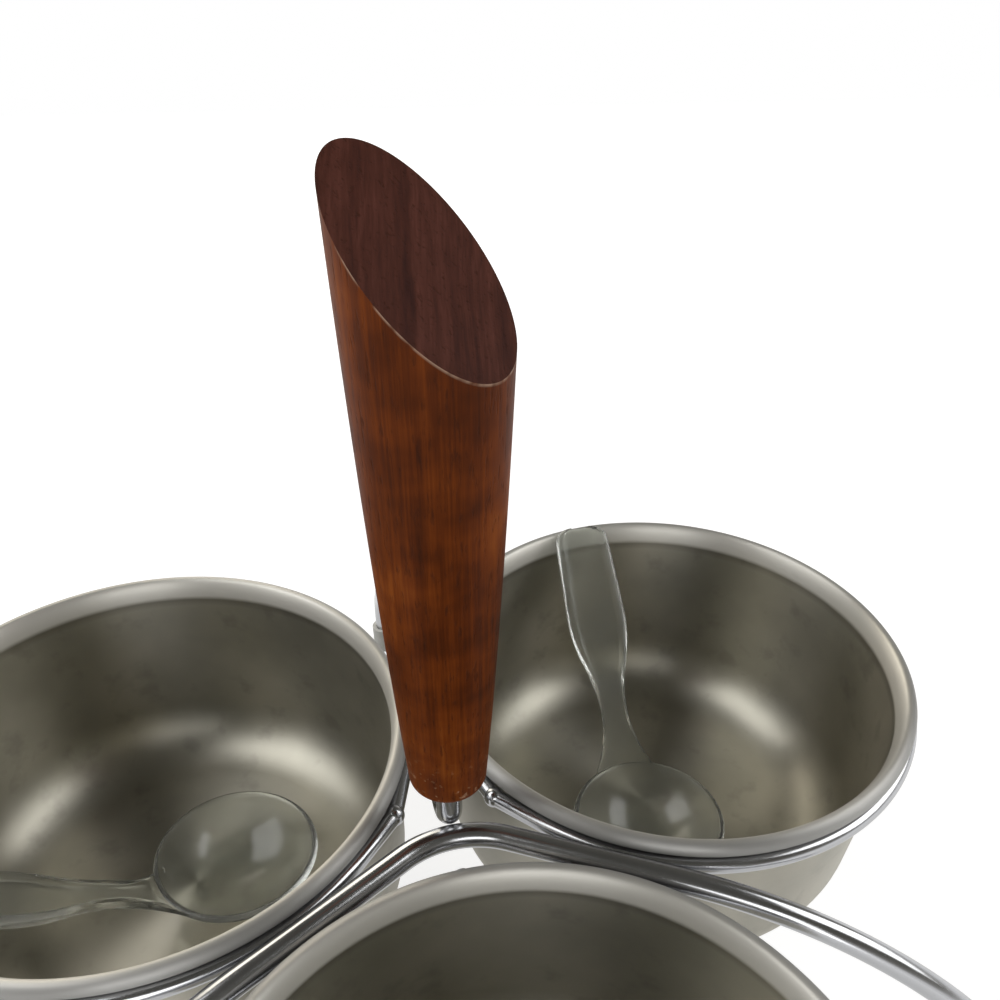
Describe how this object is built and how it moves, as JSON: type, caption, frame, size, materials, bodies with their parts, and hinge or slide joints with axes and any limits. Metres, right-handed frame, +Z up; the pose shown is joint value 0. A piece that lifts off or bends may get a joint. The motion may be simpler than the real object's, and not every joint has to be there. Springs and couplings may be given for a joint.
{
  "type": "condiment caddy",
  "caption": "Three-legged wire caddy that carries lift-out round steel bowls in welded rings, each with a clear spoon, under a slant-cut wooden carrying handle.",
  "frame": {"origin": "on the table, on the axis of the centre post", "axes": "+Z up along the post, the front bowl towards -Y and the rear leg towards +Y"},
  "size_m": [0.2262, 0.245, 0.1686],
  "materials": {
    "chrome_wire": "bright chrome-plated steel wire",
    "satin_steel": "satin stainless steel, slightly warm",
    "dark_wood": "oiled reddish-brown hardwood",
    "clear_plastic": "clear moulded plastic",
    "vinyl_tip": "soft grey vinyl"
  },
  "bodies": {
    "frame": {"front_leg_wire": "chrome_wire", "rear_leg_post_wire": "chrome_wire", "ring_front": "chrome_wire", "ring_right": "chrome_wire", "ring_left": "chrome_wire", "ring_weld_front": "chrome_wire", "ring_weld_right": "chrome_wire", "ring_weld_left": "chrome_wire", "wood_handle": "dark_wood", "foot_tip_right": "vinyl_tip", "foot_tip_back": "vinyl_tip", "foot_tip_left": "vinyl_tip"},
    "bowl_front": {"bowl_front": "satin_steel"},
    "spoon_front": {"spoon_front": "clear_plastic"},
    "bowl_right": {"bowl_right": "satin_steel"},
    "spoon_right": {"spoon_right": "clear_plastic"},
    "bowl_left": {"bowl_left": "satin_steel"},
    "spoon_left": {"spoon_left": "clear_plastic"}
  },
  "joints": [
    {"name": "bowl_front_lift", "type": "slide", "parent": "frame", "child": "bowl_front", "axis": [0, 0, 1], "range_m": [0, 0.07]},
    {"name": "spoon_front_lift", "type": "slide", "parent": "bowl_front", "child": "spoon_front", "axis": [0, 0, 1], "range_m": [0, 0.06]},
    {"name": "bowl_right_lift", "type": "slide", "parent": "frame", "child": "bowl_right", "axis": [0, 0, 1], "range_m": [0, 0.07]},
    {"name": "spoon_right_lift", "type": "slide", "parent": "bowl_right", "child": "spoon_right", "axis": [0, 0, 1], "range_m": [0, 0.06]},
    {"name": "bowl_left_lift", "type": "slide", "parent": "frame", "child": "bowl_left", "axis": [0, 0, 1], "range_m": [0, 0.07]},
    {"name": "spoon_left_lift", "type": "slide", "parent": "bowl_left", "child": "spoon_left", "axis": [0, 0, 1], "range_m": [0, 0.06]}
  ]
}
